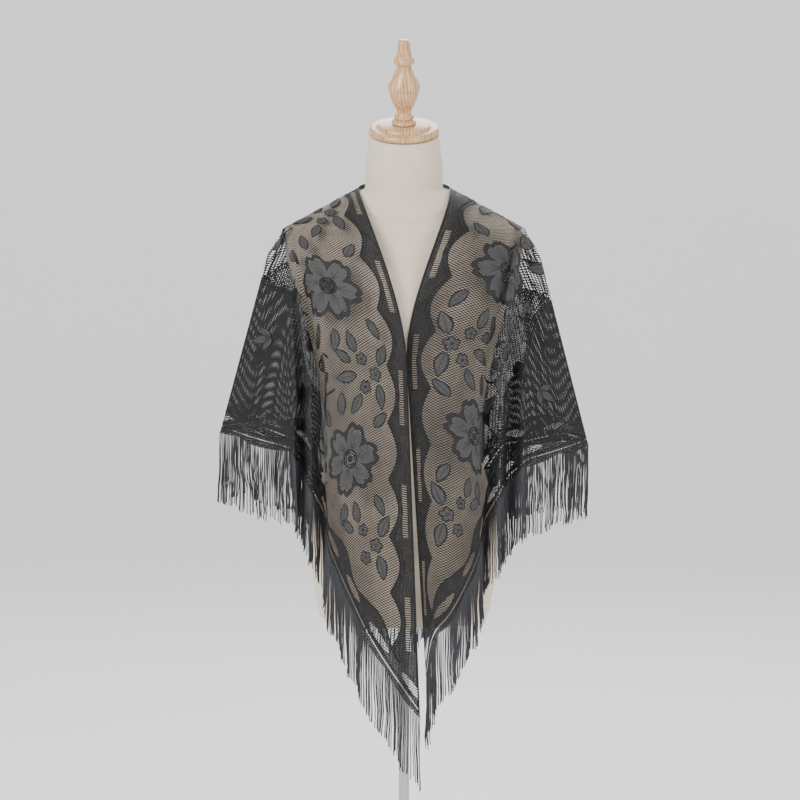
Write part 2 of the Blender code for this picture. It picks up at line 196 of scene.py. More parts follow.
def mix_colours(tree, share, first, second):
    node = add_node(tree, "Mix", {"data_type": "RGBA"})
    feed(tree, share, node.inputs[0])
    for slot, colour in ((6, first), (7, second)):
        feed(tree, colour if isinstance(colour, bpy.types.NodeSocket) else (*colour, 1.0), node.inputs[slot])
    return node.outputs[2]


def new_material(name, **constants):
    """A material with its shader's constant sockets set, and its tree and shader."""
    material = bpy.data.materials.new(name)
    material.use_nodes = True
    tree = material.node_tree
    shader = tree.nodes["Principled BSDF"]
    for socket, value in constants.items():
        shader.inputs[socket.replace("_", " ")].default_value = value
    return material, tree, shader


def noise(tree, place, scale, detail=2.0):
    node = add_node(tree, "TexNoise", Vector=place, Scale=scale, Detail=detail)
    return Number(tree, node.outputs["Fac"])


def bump(tree, shader, height, distance, strength=1.0):
    node = add_node(tree, "Bump", Height=height, Distance=distance, Strength=strength)
    tree.links.new(node.outputs["Normal"], shader.inputs["Normal"])


floor_material, tree, shader = new_material("pale_paper", Base_Color=(0.9, 0.9, 0.9, 1.0), Roughness=0.9)
place = add_node(tree, "TexCoord").outputs["Object"]
tree.links.new(mix_colours(tree, noise(tree, place, 1.5), (0.89, 0.89, 0.89), (0.92, 0.92, 0.92)),
               shader.inputs["Base Color"])
floor.data.materials.append(floor_material)
print("floor material:", floor_material.name)

# %% [markdown]
# The shawl is one flat triangle: its long edge runs round the neck and down both fronts, and its point hangs at the
# back. Each column of the cloth leaves the shoulder line in its own direction on the flat cut, rolls forward, and
# then hangs. One row of a table stands for each ridge or valley, with the same numbers as the solids have, so the
# finer sheet lies where they lie.

# %% The cut and the folds
HALF_LONG_EDGE = 0.94
CUT_HEIGHT = 0.66
HEM_LENGTH = math.hypot(HALF_LONG_EDGE, CUT_HEIGHT)
NECK_SIDE_X, NECK_SIDE_Z = 0.068, 1.395
SHOULDER_X, SHOULDER_Z = 0.182, 1.333
NECK_BACK_Y, NECK_BACK_Z = 0.072, 1.402
ROLL_POWER, ROLL_SAMPLES = 0.8, 200
FOLD_FULL_DROP = 0.36
LEAST_FALL = 0.05
Seat = namedtuple("Seat", "sign neck_u tip_u tip_v")
SEATS = {"left": Seat(-1, 0.080, 0.168, 0.152), "right": Seat(1, 0.142, 0.198, 0.106)}
Fold = namedtuple("Fold", "name share fan drift low_x spread_x low_y slope spread_y fold columns")
FRONTS = {
    "left": (
        Fold("front edge", 0.00, 0.0, 0.33, 0.008, -0.037, 0.141, 0.97, 0.000, 0.000, 5),
        Fold("panel middle", 0.50, 0.0, 0.32, 0.055, 0.000, 0.140, 0.97, 0.000, 0.000, 5),
        Fold("panel ridge", 0.84, 4.3, 0.30, 0.111, 0.000, 0.122, 0.97, 0.000, 0.000, 5),
        Fold("inner valley", 0.87, 9.5, 0.30, 0.119, 0.000, 0.113, 0.97, 0.000, 0.033, 5),
        Fold("pleat ridge", 0.895, 14.6, 0.30, 0.138, 0.000, 0.104, 0.97, 0.000, 0.000, 6),
        Fold("outer valley", 0.925, 23.0, 0.28, 0.150, 0.000, 0.060, 0.88, 0.090, 0.040, 6),
        Fold("wing ridge", 0.95, 31.8, 0.25, 0.165, 0.000, 0.032, 0.84, 0.130, 0.000, 4),
        Fold("wing middle", 0.972, 43.0, 0.12, 0.181, 0.140, 0.014, 0.85, 0.115, 0.000, 4),
        Fold("side", 1.00, 54.0, 0.05, 0.193, 0.262, 0.000, 0.97, 0.000, 0.000, 0),
    ),
    "right": (
        Fold("front edge", 0.00, 0.0, 0.33, -0.0165, 0.062, 0.126, 0.97, 0.000, 0.000, 5),
        Fold("panel middle", 0.50, 0.0, 0.32, 0.056, 0.000, 0.137, 0.97, 0.000, 0.000, 5),
        Fold("panel ridge", 0.84, 4.6, 0.30, 0.110, 0.000, 0.122, 0.97, 0.000, 0.000, 5),
        Fold("inner valley", 0.87, 10.5, 0.30, 0.120, 0.000, 0.112, 0.97, 0.000, 0.031, 5),
        Fold("pleat ridge", 0.895, 16.0, 0.30, 0.141, 0.000, 0.102, 0.97, 0.000, 0.000, 6),
        Fold("outer valley", 0.925, 23.5, 0.28, 0.156, 0.000, 0.060, 0.89, 0.085, 0.036, 6),
        Fold("wing ridge", 0.95, 32.5, 0.25, 0.1785, 0.000, 0.032, 0.85, 0.120, 0.000, 4),
        Fold("wing middle", 0.972, 43.0, 0.12, 0.186, 0.130, 0.014, 0.86, 0.110, 0.000, 4),
        Fold("side", 1.00, 54.0, 0.05, 0.193, 0.250, 0.000, 0.97, 0.000, 0.000, 0),
    ),
}
# On the back a share from -1 to 0 runs along the neck edge, and from 0 to 1 along the shoulder line.
BACK = (
    Fold("back middle", -1.00, 90.0, 0.30, 0.000, 0.000, 0.134, 0.70, 0.000, 0.000, 3),
    Fold("first ridge", -0.30, 90.0, 0.30, 0.072, 0.000, 0.136, 0.70, 0.000, 0.000, 2),
    Fold("neck side", 0.00, 88.0, 0.30, 0.098, 0.000, 0.133, 0.95, 0.000, 0.010, 2),
    Fold("first valley", 0.15, 86.0, 0.30, 0.112, 0.000, 0.128, 0.97, 0.000, 0.022, 4),
    Fold("second ridge", 0.60, 80.0, 0.30, 0.152, 0.000, 0.112, 0.97, 0.000, 0.000, 4),
    Fold("second valley", 0.82, 71.0, 0.30, 0.176, 0.040, 0.068, 0.92, 0.050, 0.034, 4),
    Fold("third ridge", 0.92, 63.0, 0.20, 0.184, 0.170, 0.026, 0.87, 0.100, 0.000, 4),
    Fold("side", 1.00, 54.0, 0.05, 0.193, 0.262, 0.000, 0.97, 0.000, 0.000, 0),
)
print("hem on each side:", round(HEM_LENGTH, 3), "m")

# %% [markdown]
# A ridge blends into a valley along a curve that never swings past either, which keeps the folds from crossing.
# A column's length is true: what it moves sideways or forward, it doesn't fall.

# %% Columns of falling cloth
share = np.linspace(0.0, 1.0, ROLL_SAMPLES)
forward = np.cos(0.5 * np.pi * share**ROLL_POWER)
roll_run = np.concatenate([[0.0], np.cumsum((forward[1:] + forward[:-1]) / 2)])
ROLL_SHARE, ROLL_RUN, ROLL_REACH = share, roll_run / roll_run[-1], roll_run[-1] / (ROLL_SAMPLES - 1)


def eased(share):
    share = np.clip(share, 0.0, 1.0)
    return share**2 * (3 - 2 * share)


def smooth_keys(places, values, wanted):
    """A curve through the keys that never swings past them."""
    places, values = np.asarray(places, float), np.asarray(values, float)
    widths = np.diff(places)
    slopes = np.diff(values) / widths
    tangents = np.zeros(len(places))
    tangents[0], tangents[-1] = slopes[0], slopes[-1]
    for key in range(1, len(places) - 1):
        before, after = slopes[key - 1], slopes[key]
        if before * after > 0:
            first = 2 * widths[key] + widths[key - 1]
            second = widths[key] + 2 * widths[key - 1]
            tangents[key] = (first + second) / (first / before + second / after)
    span = np.clip(np.searchsorted(places, wanted, side="right") - 1, 0, len(widths) - 1)
    share = (wanted - places[span]) / widths[span]
    return (
        values[span] * (1 + 2 * share) * (1 - share) ** 2
        + tangents[span] * widths[span] * share * (1 - share) ** 2
        + values[span + 1] * share**2 * (3 - 2 * share)
        - tangents[span + 1] * widths[span] * share**2 * (1 - share)
    )


def key_places(rows):
    return np.concatenate([[0], np.cumsum([row.columns for row in rows[:-1]])])


def fold_columns(rows, wanted):
    fields = [field for field in Fold._fields if field not in ("name", "columns")]
    return {field: smooth_keys(key_places(rows), [getattr(row, field) for row in rows], wanted) for field in fields}


def hem_distance(u, v, fan):
    left_over = 1 - u / HALF_LONG_EDGE - v / CUT_HEIGHT
    return left_over / (np.cos(fan) / HALF_LONG_EDGE + np.sin(fan) / CUT_HEIGHT)


def shoulder_height(x):
    share = (x - NECK_SIDE_X) / (SHOULDER_X - NECK_SIDE_X)
    return NECK_SIDE_Z + (SHOULDER_Z - NECK_SIDE_Z) * share


def fall_path(start, fold, index, drops, facing):
    """Points of one column at the given lengths from the shoulder."""
    fine = np.linspace(0.0, drops[-1], 2 * ROLL_SAMPLES)
    drifted = eased(fine / fold["drift"][index])
    x = start[0] + (fold["low_x"][index] - start[0]) * drifted + fold["spread_x"][index] * fine
    travel = fold["low_y"][index] - abs(start[1])
    roll_length = max(travel, 0.0003) / (ROLL_REACH * fold["slope"][index])
    rolled = np.interp(fine / roll_length, ROLL_SHARE, ROLL_RUN)
    depth = fold["fold"][index] * eased(fine / FOLD_FULL_DROP)
    y = facing * (abs(start[1]) + travel * rolled + fold["spread_y"][index] * fine - depth)
    step = np.diff(fine)
    level = np.diff(x) ** 2 + np.diff(y) ** 2
    fall = np.sqrt(np.maximum(step**2 - level, (LEAST_FALL * step) ** 2))
    z = start[2] - np.concatenate([[0.0], np.cumsum(fall)])
    return np.stack([np.interp(drops, fine, axis) for axis in (x, y, z)], axis=1)


print("share of a roll's length that goes forward:", round(ROLL_REACH, 3))

# %% [markdown]
# The sheet is this same drape with many more columns and rows. The hem is cut in shallow scallops, so each column
# runs a few millimetres past the straight edge or stops at it. Every point also keeps its place on the flat cut, in
# metres, as the UV map that the lace pattern is drawn on.

# %% One sheet of cloth
FRONT_COLUMNS = 121
NECK_COLUMNS = 30
ROWS = 118
HEM_SCALLOP = 0.085
HEM_SCALLOP_DEPTH = 0.006
ROW_CROWDING = 1.08
FINE_KEYS = 4000


def hem_bulge(along):
    """How far the scalloped hem stands past the straight cut."""
    return HEM_SCALLOP_DEPTH * np.abs(np.sin(math.pi * along / HEM_SCALLOP)) - 0.001


def cloth_grid(side, facing):
    """World and flat points of a front (-1) or half a back (1), as [column, row]."""
    seat = SEATS[side]
    rows = FRONTS[side]
    wanted = np.linspace(0, key_places(rows)[-1], FRONT_COLUMNS)
    shares = fold_columns(rows, wanted)["share"]
    if facing > 0:
        rows = (*BACK[:-1], BACK[-1]._replace(spread_x=rows[-1].spread_x))
        dense = np.linspace(0, key_places(rows)[-1], FINE_KEYS)
        known = fold_columns(rows, dense)["share"]
        neck = np.linspace(0, key_places(rows)[2], NECK_COLUMNS)[:-1]
        wanted = np.concatenate([neck, np.interp(shares, known, dense)])
    fold = fold_columns(rows, wanted)
    if facing > 0:
        fold["share"][NECK_COLUMNS - 1:] = shares
    grid, flat = [], []
    for index, share in enumerate(fold["share"]):
        fan = math.radians(fold["fan"][index])
        if share < -1e-9:
            turn = 0.5 * math.pi * (share + 1)
            u, v = seat.neck_u * (share + 1), 0.0
            height = NECK_SIDE_Z + (NECK_BACK_Z - NECK_SIDE_Z) * math.cos(turn)
            start = (NECK_SIDE_X * math.sin(turn), NECK_BACK_Y * math.cos(turn), height)
        else:
            u = seat.neck_u + (seat.tip_u - seat.neck_u) * share
            v = seat.tip_v * share
            x = NECK_SIDE_X + (SHOULDER_X - NECK_SIDE_X) * share
            start = (x, 0.0, shoulder_height(x))
        length = hem_distance(u, v, fan)
        hem_u, hem_v = u + length * math.cos(fan), v + length * math.sin(fan)
        length += hem_bulge(math.hypot(HALF_LONG_EDGE - hem_u, hem_v))
        drops = length * np.linspace(0.0, 1.0, ROWS) ** ROW_CROWDING
        points = fall_path(start, fold, index, drops, facing)
        grid.append(points * (seat.sign, 1.0, 1.0))
        flat.append(np.stack([seat.sign * (u + drops * math.cos(fan)), v + drops * math.sin(fan)], axis=1))
    return np.array(grid), np.array(flat)


def grid_quads(columns, rows, offset=0):
    corner = (np.arange(columns - 1)[:, None] * rows + np.arange(rows - 1)[None, :]).reshape(-1) + offset
    return np.stack([corner, corner + rows, corner + rows + 1, corner + 1], axis=1)


def unit(vectors):
    return vectors / np.maximum(np.linalg.norm(vectors, axis=-1, keepdims=True), 1e-12)


def signed_area(flat, faces):
    first, second = flat[faces[:, 1]] - flat[faces[:, 0]], flat[faces[:, 2]] - flat[faces[:, 0]]
    return first[:, 0] * second[:, 1] - first[:, 1] * second[:, 0]


points, flat, quads, hem_lines = [], [], [], {}
for side in SEATS:
    stretches = []
    for facing in (-1, 1):
        grid, grid_flat = cloth_grid(side, facing)
        quads.append(grid_quads(*grid.shape[:2], offset=sum(len(part) for part in points)))
        points.append(grid.reshape(-1, 3))
        flat.append(grid_flat.reshape(-1, 2))
        order = slice(None, None, -facing)
        stretches.append((grid[order, -1], grid_flat[order, -1]))
    hem_lines[side] = [np.concatenate(pair) for pair in zip(*stretches)]
points, flat, quads = np.concatenate(points), np.concatenate(flat), np.concatenate(quads)
_, first_seen, merged = np.unique(np.round(points, 6), axis=0, return_index=True, return_inverse=True)
points, flat, quads = points[first_seen], flat[first_seen], merged.reshape(-1)[quads]
cloth_faces = np.concatenate([quads[:, [0, 1, 2]], quads[:, [0, 2, 3]]])
whole = np.array([len(set(face)) == 3 for face in cloth_faces.tolist()])
cloth_faces = cloth_faces[whole]
flipped = signed_area(flat, cloth_faces) < 0
cloth_faces[flipped] = cloth_faces[flipped][:, ::-1]
lace_sheet = new_object("lace_sheet", points, cloth_faces.tolist())
uv_layer = lace_sheet.data.uv_layers.new(name="cut")
corner_verts = np.empty(len(lace_sheet.data.loops), int)
lace_sheet.data.loops.foreach_get("vertex_index", corner_verts)
uv_layer.data.foreach_set("uv", flat[corner_verts].reshape(-1))
print("sheet:", len(cloth_faces), "triangles")

# %% [markdown]
# Every motif is drawn flat and then carried onto the worn cloth: each flat point finds its triangle on the cut, and
# takes the same place on that triangle in space, lifted a little along the cloth's normal.

# %% From the flat cut to the worn cloth
cloth_normals = np.empty(len(points) * 3)
lace_sheet.data.vertex_normals.foreach_get("vector", cloth_normals)
cloth_normals = cloth_normals.reshape(-1, 3)
cut_tree = BVHTree.FromPolygons([(u, v, 0.0) for u, v in flat.tolist()], cloth_faces.tolist())


def drape(cut_points, lift):
    """World places of points of the flat cut, lifted off the cloth's face by the given heights."""
    found = [cut_tree.find_nearest((u, v, 0.0))[2] for u, v in cut_points.tolist()]
    corners = cloth_faces[found]
    a, b, c = (flat[corners[:, k]] for k in range(3))
    ab, ac, ap = b - a, c - a, cut_points - a
    area = ab[:, 0] * ac[:, 1] - ab[:, 1] * ac[:, 0]
    beta = (ap[:, 0] * ac[:, 1] - ap[:, 1] * ac[:, 0]) / area
    gamma = (ab[:, 0] * ap[:, 1] - ab[:, 1] * ap[:, 0]) / area
    shares = np.stack([1 - beta - gamma, beta, gamma], axis=1)[:, :, None]
    normals = unit((cloth_normals[corners] * shares).sum(axis=1))
    return (points[corners] * shares).sum(axis=1) + normals * np.asarray(lift).reshape(-1, 1)


print("back middle, 0.3 m down:", drape(np.array([(0.0, 0.3)]), 0.0).round(3).tolist())

# %% [markdown]
# The lace has four grounds, and one pattern of diamond holes makes them all: the wider its threshold, the more the
# holes open. The border along the long edge is close, then comes an open net, then a finer and closer plain ground,
# and the hem is close again. The wavy line between border and net is worked out here and again in the material.

# %% Where each ground begins
BORDER_LEAST, BORDER_CUSP, BORDER_REPEAT = 0.022, 0.016, 0.084
BAND_EDGE, BAND_WAVE, BAND_REPEAT = 0.205, 0.012, 0.17
HEM_BAND, HEM_WAVE, HEM_REPEAT = 0.033, 0.007, 0.12
HEM_SQUARE = HALF_LONG_EDGE * CUT_HEIGHT / HEM_LENGTH


def border_edge(u):
    return BORDER_LEAST + BORDER_CUSP * (1 - np.abs(np.sin(math.pi * u / BORDER_REPEAT)))


def band_edge(u):
    return BAND_EDGE + BAND_WAVE * np.sin(2 * math.pi * u / BAND_REPEAT)


def from_hem(u, v):
    return (1 - np.abs(u) / HALF_LONG_EDGE - v / CUT_HEIGHT) * HEM_SQUARE


print("border", BORDER_LEAST, "to", BORDER_LEAST + BORDER_CUSP, "m wide")

# %% [markdown]
# The yarn is near black, a little lighter where it catches the light, and slightly uneven. Holes are cut with Alpha,
# so the linen shows through them. A few stitches of open ladder run along the border, and leaf-shaped windows of net
# along the hem.

# %% Lace material
NET_PITCH, PLAIN_PITCH = 0.0040, 0.0026
LADDER_FROM, LADDER_TO, LADDER_REPEAT, LADDER_BARS = 0.0085, 0.0165, 0.168, 0.0034
WINDOW_REPEAT, WINDOW_SHARE, WINDOW_MIDDLE, WINDOW_HALF_DEPTH = 0.084, 0.30, 0.019, 0.0050
OPEN_ROW, OPEN_ROW_HALF, OPEN_ROW_DASH = 0.0065, 0.0006, 0.0036


def hole_field(across, down, pitch):
    """A field that is high in the middle of each hole of a diamond net and low on its threads."""
    turn = 2 * math.pi / pitch
    return ((across + down * 0.62) * turn).cosine() + ((across - down * 0.62) * turn).cosine()


lace, tree, shader = new_material("black_lace", Roughness=0.62, Specular_IOR_Level=0.18)
cut_place = add_node(tree, "UVMap", {"uv_map": "cut"}).outputs["UV"]
cut = add_node(tree, "SeparateXYZ", Vector=cut_place)
u, v = Number(tree, cut.outputs["X"]), Number(tree, cut.outputs["Y"])
half_u = abs(u)
border_line = BORDER_LEAST + BORDER_CUSP * (1 - abs((half_u * (math.pi / BORDER_REPEAT)).sine()))
band_line = BAND_EDGE + BAND_WAVE * (half_u * (2 * math.pi / BAND_REPEAT)).sine()
hem_off = (1 - half_u / HALF_LONG_EDGE - v / CUT_HEIGHT) * HEM_SQUARE
hem_along = ((HALF_LONG_EDGE - half_u) * (HALF_LONG_EDGE / HEM_LENGTH)) + v * (CUT_HEIGHT / HEM_LENGTH)
hem_line = HEM_BAND + HEM_WAVE * (hem_along * (2 * math.pi / HEM_REPEAT)).sine()
in_border, in_plain, in_hem = v < border_line, v > band_line, hem_off < hem_line
uneven = noise(tree, cut_place, 60.0) - 0.5
cloudy = noise(tree, cut_place, 9.0) - 0.5
net_holes = hole_field(u, v, NET_PITCH) > (0.05 + uneven * 0.5)
plain_holes = hole_field(u, v, PLAIN_PITCH) > (1.20 + uneven * 1.6 + cloudy * 0.8)
close_holes = hole_field(u, v, PLAIN_PITCH) > (1.75 + uneven * 0.6)
ladder_row = ((v > LADDER_FROM) * (v < LADDER_TO) * (half_u.part(LADDER_REPEAT) > 0.02)
              * (half_u.part(LADDER_BARS) > 0.10))
leaf_window = ((hem_along.part(WINDOW_REPEAT) / WINDOW_SHARE).math("POWER", 2.0)
               + ((hem_off - WINDOW_MIDDLE) / WINDOW_HALF_DEPTH).math("POWER", 2.0)) < 1.0
open_row = (abs(hem_off - OPEN_ROW) < OPEN_ROW_HALF) * (hem_along.part(OPEN_ROW_DASH) > -0.2)
ground = in_plain * plain_holes + (1 - in_plain) * net_holes
closed = in_border.either(in_hem)
holes = closed * close_holes + (1 - closed) * ground
holes = holes.either(in_border * ladder_row).either(leaf_window * net_holes).either(open_row)
thread = noise(tree, cut_place, 900.0)
yarn = mix_colours(tree, (cloudy + 0.5) * 0.6 + thread * 0.4, (0.0040, 0.0040, 0.0045), (0.018, 0.018, 0.019))
tree.links.new(yarn, shader.inputs["Base Color"])
tree.links.new((1 - holes).socket, shader.inputs["Alpha"])
bump(tree, shader, hole_field(u, v, PLAIN_PITCH) * -0.25 + thread * 0.4, 0.0004)
lace_sheet.data.materials.append(lace)


def yarn_material(name, dark, light, roughness, openness):
    """Close knitting of its own shade. An openness under 2 lets small holes through."""
    material, tree, shader = new_material(name, Roughness=roughness, Specular_IOR_Level=0.22)
    place = add_node(tree, "TexCoord").outputs["Object"]
    grain = noise(tree, place, 700.0)
    cloud = noise(tree, place, 45.0)
    tree.links.new(mix_colours(tree, grain * 0.5 + cloud * 0.5, dark, light), shader.inputs["Base Color"])
    if openness < 2:
        spots = add_node(tree, "TexVoronoi", Vector=place, Scale=430.0)
        gaps = Number(tree, spots.outputs["Distance"]) < openness
        tree.links.new((1 - gaps).socket, shader.inputs["Alpha"])
    bump(tree, shader, grain, 0.0003)
    return material


cord_yarn = yarn_material("cord_yarn", (0.004, 0.004, 0.0045), (0.020, 0.020, 0.022), 0.5, 2.0)
halo_yarn = yarn_material("halo_yarn", (0.006, 0.006, 0.007), (0.022, 0.022, 0.024), 0.65, 0.10)
petal_yarn = yarn_material("petal_yarn", (0.022, 0.022, 0.023), (0.060, 0.059, 0.060), 0.6, 0.16)
fringe_yarn = yarn_material("fringe_yarn", (0.010, 0.010, 0.012), (0.055, 0.056, 0.062), 0.42, 2.0)
print("materials:", len(bpy.data.materials))

# %% [markdown]
# Motifs are built from two things: a filled patch, which is a small grid, and a raised cord, which is a flat
# four-sided tube along a line. Each is drawn once and again mirrored, because the two halves of the cut match.

# %% Patches and cords
CORD_LIFT, PATCH_LIFT = 0.0010, 0.0005
HEART_RADIUS, HALO_GAP, HALO_WIDTH = 0.0145, 0.0016, 0.0055
batches = {name: ([], [], []) for name in ("halo", "petal", "cord")}


def add_patch(batch, grid, sides=(1, -1)):
    """A filled patch from a grid of flat points [along, across, uv]."""
    for side in sides:
        half = grid * (side, 1.0)
        columns, rows = half.shape[:2]
        cut_points = half.reshape(-1, 2)
        if signed_area(cut_points, np.array([[0, rows, rows + 1]]))[0] < 0:
            half = half[:, ::-1]
            cut_points = half.reshape(-1, 2)
        places, lifts, faces = batches[batch]
        offset = sum(len(part) for part in places)
        places.append(cut_points)
        lifts.append(np.full(len(cut_points), PATCH_LIFT))
        faces.append(grid_quads(columns, rows, offset))


def add_cord(path, half_width, closed=False, sides=(1, -1), lift=CORD_LIFT):
    """A raised cord along a flat path."""
    half_width = np.broadcast_to(half_width, len(path))
    for side in sides:
        line = path * (side, 1.0)
        if closed:
            ahead, behind = np.roll(line, -1, axis=0), np.roll(line, 1, axis=0)
        else:
            ahead = np.concatenate([line[1:], line[-1:]])
            behind = np.concatenate([line[:1], line[:-1]])
        along = unit(ahead - behind)
        left = np.stack([-along[:, 1], along[:, 0]], axis=1) * half_width[:, None]
        ring = np.stack([line + left, line, line - left, line], axis=1)
        places, lifts, faces = batches["cord"]
        offset = sum(len(part) for part in places)
        places.append(ring.reshape(-1, 2))
        lifts.append(np.tile([0.0002, lift, 0.0002, -0.0003], len(line)))
        count = len(line)
        start = np.arange(count if closed else count - 1)
        after = (start + 1) % count
        for corner in range(4):
            other = (corner + 1) % 4
            faces.append(np.stack([4 * start + corner, 4 * start + other,
                                   4 * after + other, 4 * after + corner], axis=1) + offset)
        if not closed:
            last = offset + 4 * (count - 1)
            faces.append(np.array([[offset + 3, offset + 2, offset + 1, offset],
                                   [last, last + 1, last + 2, last + 3]]))


def circle(centre, radius, count=20):
    turn = np.linspace(0, 2 * math.pi, count, endpoint=False)
    return np.array(centre) + radius * np.stack([np.cos(turn), np.sin(turn)], axis=1)


def polar_patch(batch, centre, turn, inner, outer, rings, sides):
    share = np.linspace(0, 1, rings)[None, :]
    radius = inner[:, None] * (1 - share) + outer[:, None] * share
    grid = np.stack([radius * np.cos(turn)[:, None], radius * np.sin(turn)[:, None]], axis=2) + np.array(centre)
    add_patch(batch, grid, sides)


def add_flower(centre, size, petals, tilt, sides=(1, -1)):
    """A large open flower: two-lobed petals in a dark halo, with rings of cord in the middle."""
    turn = np.linspace(0, 2 * math.pi, 157)
    phase = petals / 2 * (turn - tilt)
    swell = np.abs(np.sin(phase)) ** 0.42
    notch = np.exp(-((np.cos(phase) / 0.20) ** 2))
    uneven = 1 + 0.06 * np.sin(2 * turn + tilt) + 0.05 * np.sin(3 * turn)
    edge = 0.015 + (size - 0.015) * swell * (1 - 0.17 * notch) * uneven
    ones = np.ones(len(turn))
    polar_patch("petal", centre, turn, HEART_RADIUS * ones, edge, 6, sides)
    halo_edge = np.maximum(edge + 0.004, 0.80 * size) + HALO_WIDTH
    polar_patch("halo", centre, turn, edge + HALO_GAP, halo_edge, 4, sides)
    polar_patch("halo", centre, turn, 0.0002 * ones, 0.0030 * ones, 2, sides)
    rim = np.array(centre) + (edge + 0.0026)[:-1, None] * np.stack([np.cos(turn), np.sin(turn)], axis=1)[:-1]
    add_cord(rim, 0.0009, closed=True, sides=sides)
    for radius, width in ((0.0042, 0.0012), (0.0088, 0.0012), (0.0128, 0.0016)):
        add_cord(circle(centre, radius, 28), width, closed=True, sides=sides)
    for petal in range(petals):
        middle = tilt + (2 * petal + 1) * math.pi / petals
        for swing, reach in ((-0.16, 0.62), (0.0, 0.74), (0.16, 0.62)):
            radius = np.linspace(0.016, size * reach, 6)
            angle = middle + swing * np.linspace(0.6, 1.3, 6)
            vein = np.array(centre) + radius[:, None] * np.stack([np.cos(angle), np.sin(angle)], axis=1)
            add_cord(vein, np.linspace(0.0009, 0.0004, 6), sides=sides)


def add_leaf(base, angle, length, width, bend=0.0, sides=(1, -1)):
    """A leaf: a dark outline round a lighter patch, with a rib."""
    along = np.linspace(0, 1, 13)
    direction = np.array((math.cos(angle), math.sin(angle)))
    across = np.array((-direction[1], direction[0]))
    axis = np.array(base) + along[:, None] * length * direction + bend * length * (along**2)[:, None] * across
    swell = width / 2 * np.sin(math.pi * along**0.85) + 0.0002
    shares = np.linspace(-0.82, 0.82, 4)
    add_patch("petal", axis[:, None] + (swell[:, None] * shares[None, :])[:, :, None] * across, sides)
    loop = np.concatenate([axis + swell[:, None] * across, (axis - swell[:, None] * across)[-2:0:-1]])
    add_cord(loop, 0.0012, closed=True, sides=sides)
    add_cord(axis[1:-2], np.linspace(0.0008, 0.0004, 10), sides=sides)


def add_small_flower(centre, size, tilt, sides=(1, -1)):
    turn = np.linspace(0, 2 * math.pi, 61)
    edge = size * (0.42 + 0.58 * np.abs(np.sin(2.5 * (turn - tilt))) ** 0.5)
    polar_patch("petal", centre, turn, np.full(61, 0.0024), edge, 3, sides)
    rim = np.array(centre) + edge[:-1, None] * np.stack([np.cos(turn), np.sin(turn)], axis=1)[:-1]
    add_cord(rim, 0.0011, closed=True, sides=sides)
    add_cord(circle(centre, 0.0019, 10), 0.0011, closed=True, sides=sides)


def add_tendril(base, angle, size, hand=1, sides=(1, -1)):
    """A scroll that rolls in on itself."""
    share = np.linspace(0, 1, 26)
    heading = angle + hand * 5.2 * share**1.4
    step = size * 0.115 * (1.15 - share)
    path = np.array(base) + np.cumsum(np.stack([np.cos(heading), np.sin(heading)], axis=1) * step[:, None], axis=0)
    add_cord(path, 0.0019 - 0.0009 * share, sides=sides)


print("motif makers ready")

# %% [markdown]
# The layout is a simple one of this kind of lace: a large flower at each repeat, small flowers and leaf sprays
# between, scrolls towards the plain ground, and sprigs scattered over it. A motif that would reach the hem is left
# out. None is copied from a real piece.

# %% Layout of the motifs
Motif = namedtuple("Motif", "kind u v angle size")
SPRAY = (
    Motif("small", 0.000, 0.060, 10, 0.0105), Motif("small", 0.021, 0.078, 40, 0.0095),
    Motif("small", -0.020, 0.083, 80, 0.0090), Motif("leaf", -0.014, 0.053, 196, 0.036),
    Motif("leaf", 0.014, 0.055, -18, 0.036), Motif("leaf", -0.030, 0.092, 160, 0.033),
    Motif("leaf", 0.032, 0.086, 24, 0.034), Motif("leaf", 0.004, 0.094, 78, 0.038),
    Motif("leaf", -0.016, 0.103, 122, 0.030), Motif("scroll", 0.020, 0.132, 60, 0.034),
    Motif("scroll", -0.020, 0.142, 150, -0.034), Motif("small", 0.000, 0.158, 0, 0.0090),
    Motif("leaf", 0.014, 0.165, 20, 0.030), Motif("leaf", -0.014, 0.165, 165, 0.030),
)
ROUND_FLOWER = (
    Motif("leaf", 0.052, 0.148, 40, 0.036), Motif("leaf", 0.066, 0.120, 8, 0.034),
    Motif("leaf", -0.052, 0.148, 140, 0.036), Motif("leaf", -0.066, 0.122, 172, 0.034),
    Motif("leaf", 0.050, 0.062, -35, 0.032), Motif("leaf", -0.050, 0.062, 215, 0.032),
    Motif("scroll", 0.030, 0.166, 120, -0.036), Motif("scroll", -0.034, 0.168, 60, 0.036),
    Motif("small", 0.000, 0.180, 30, 0.0090),
)
FLOWER_PLACES = (0.305, 0.565)
SPRAY_PLACES = (0.152, 0.437, 0.690)
MOTIF_MARGIN = 0.040
FLOWER_V, FLOWER_SIZE, FLOWER_PETALS = 0.108, 0.046, 6
SPRIG_ROWS, SPRIG_V, SPRIG_STEP, SPRIG_PITCH, SPRIG_MARGIN = 5, 0.262, 0.078, 0.098, 0.075


def place_motif(motif, centre_u, sides=(1, -1)):
    u, v = centre_u + motif.u, motif.v
    angle = math.radians(motif.angle)
    reach = abs(motif.size) + 0.004
    tip_u, tip_v = u + reach * math.cos(angle), v + reach * math.sin(angle)
    if min(from_hem(u, v), from_hem(tip_u, tip_v)) < MOTIF_MARGIN or v > band_edge(u) - 0.012:
        return
    if motif.kind == "small":
        add_small_flower((u, v), motif.size, angle, sides)
    elif motif.kind == "leaf":
        add_leaf((u, v), angle, motif.size, motif.size * 0.44, 0.12, sides)
    else:
        add_tendril((u, v), angle, abs(motif.size), math.copysign(1, motif.size), sides)


